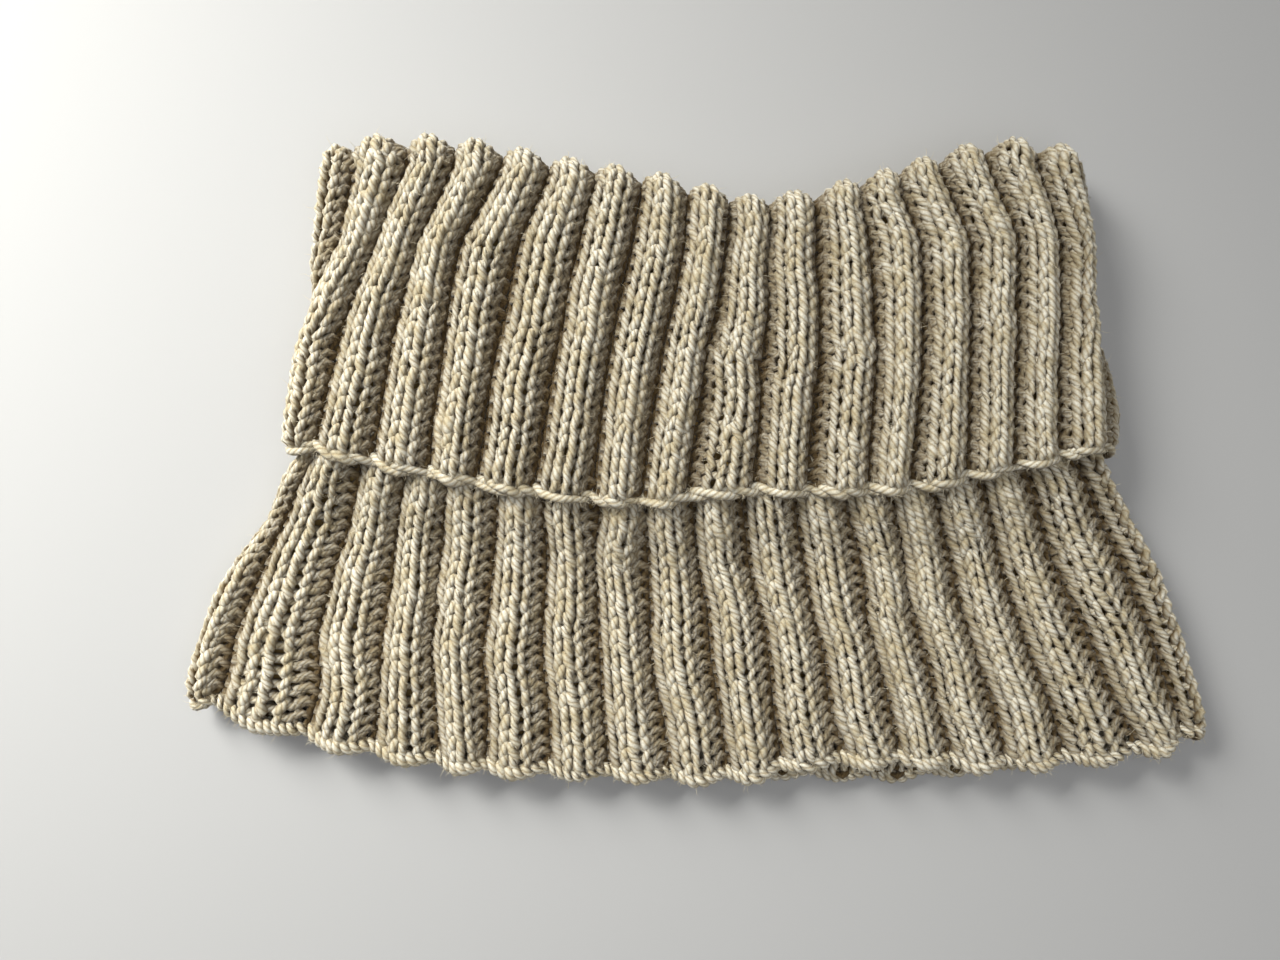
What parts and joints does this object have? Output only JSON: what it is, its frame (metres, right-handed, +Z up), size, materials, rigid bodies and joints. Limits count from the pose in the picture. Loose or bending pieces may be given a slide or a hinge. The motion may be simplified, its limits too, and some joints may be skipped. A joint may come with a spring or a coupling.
{
  "type": "ribbed knit cowl",
  "caption": "Chunky ribbed wool cowl laid flat, its upper half turned down over the flared skirt as a collar.",
  "frame": {"origin": "middle of the cowl's outline, on the surface it lies on", "axes": "+X across the cowl, +Y up to the fold of its collar, +Z up from the surface"},
  "size_m": [0.332, 0.2068, 0.0217],
  "materials": {
    "wool_knit": "matt cream wool yarn in 2 by 2 rib, with a soft halo of fibres"
  },
  "bodies": {
    "root": {"collar_front": "wool_knit", "collar_back": "wool_knit", "neck_layers": "wool_knit", "skirt_front": "wool_knit", "skirt_back": "wool_knit"}
  },
  "joints": []
}
